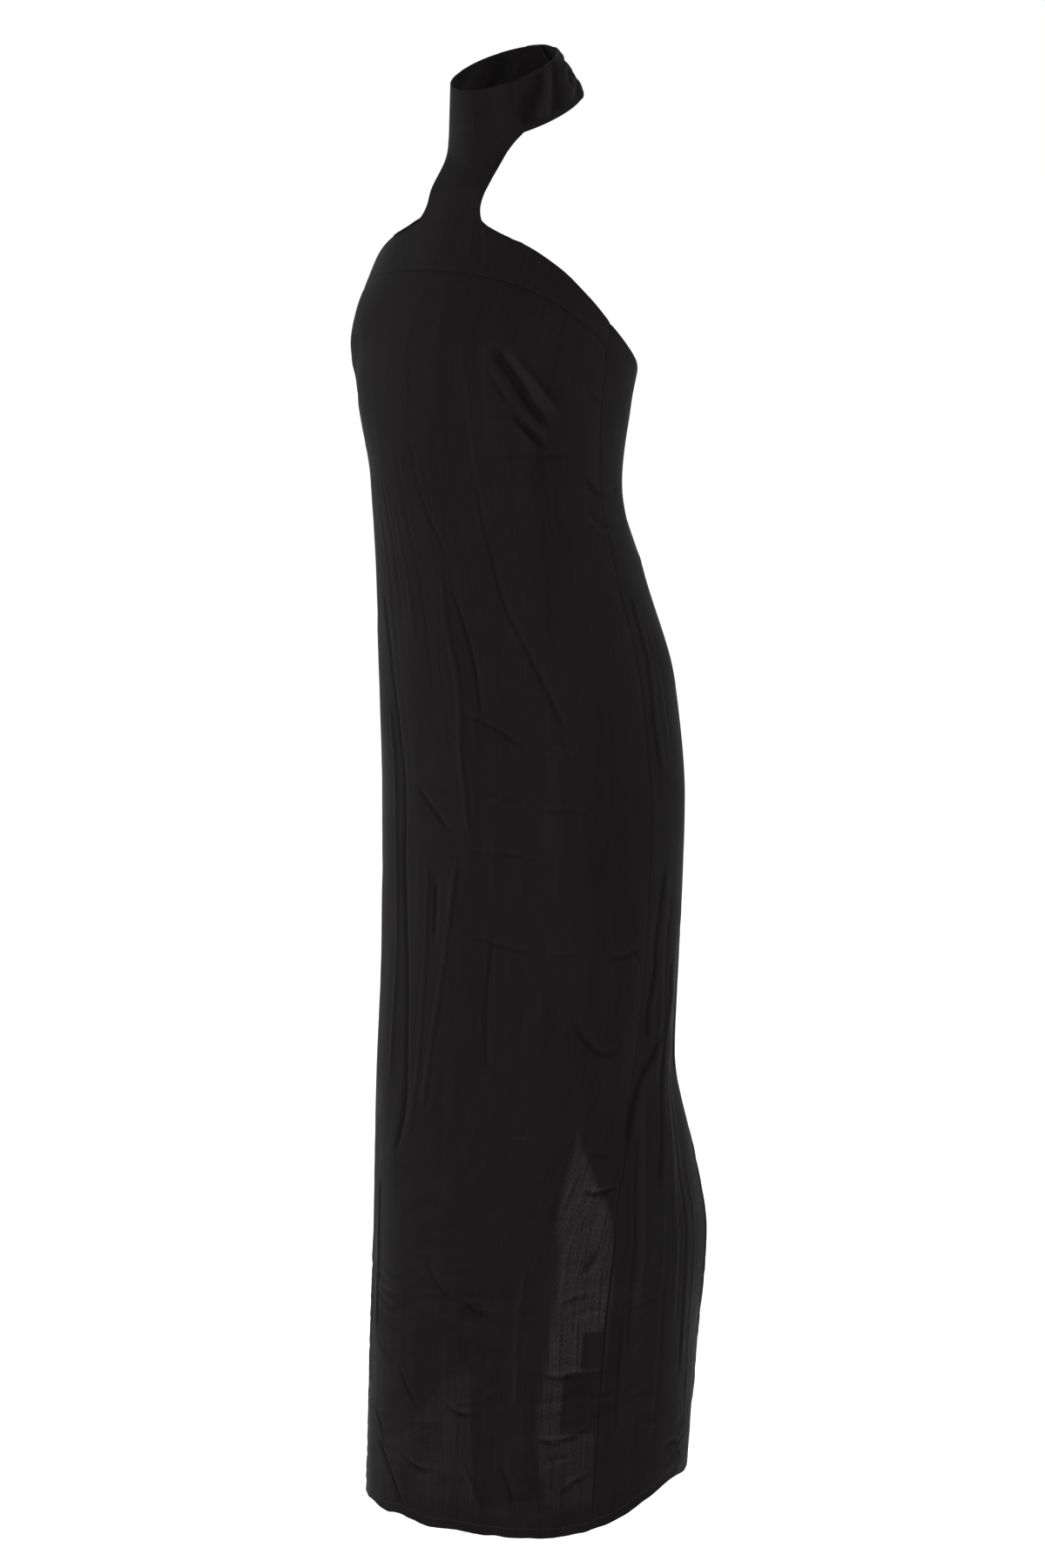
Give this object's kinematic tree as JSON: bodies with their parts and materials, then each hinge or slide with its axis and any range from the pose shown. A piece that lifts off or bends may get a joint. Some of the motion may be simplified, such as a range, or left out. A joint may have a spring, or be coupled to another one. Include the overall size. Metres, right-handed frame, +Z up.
{
  "type": "long halter dress",
  "caption": "Full-length sleeveless silk halter dress, worn and hollow, with a tall neckband, shaped yoke, straight skirt and skirt lining.",
  "frame": {"origin": "centre of the neckband's lower edge, where the wearer's neck holds the dress up", "axes": "+Z up along the body, -Y to the wearer's front, +X to the wearer's left"},
  "size_m": [0.329, 0.3292, 1.4213],
  "materials": {
    "black_silk": "matte black silk crepe, slightly sheer where it is a single layer",
    "black_lining": "smooth black lining silk",
    "label_tape": "bare woven tape",
    "zip_tape": "woven black zip tape",
    "zip_metal": "black lacquered metal",
    "button_silk": "buttons covered in the dress's silk"
  },
  "bodies": {
    "dress": {"neckband": "black_silk", "front_yoke": "black_silk", "front_panel": "black_silk", "back_left": "black_silk", "back_right": "black_silk", "lining_front": "black_lining", "lining_back_left": "black_lining", "lining_back_right": "black_lining", "care_label_upper": "label_tape", "care_label_lower": "label_tape", "zip_tape": "zip_tape", "zip_slider": "zip_metal", "neck_button_lower": "button_silk", "neck_button_upper": "button_silk"},
    "pull": {"zip_pull": "zip_metal"}
  },
  "joints": [
    {"name": "pull_swing", "type": "hinge", "parent": "dress", "child": "pull", "pos_m": [0, 0.0864, -0.297], "axis": [1, 0, 0], "range_deg": [0, 165]}
  ]
}
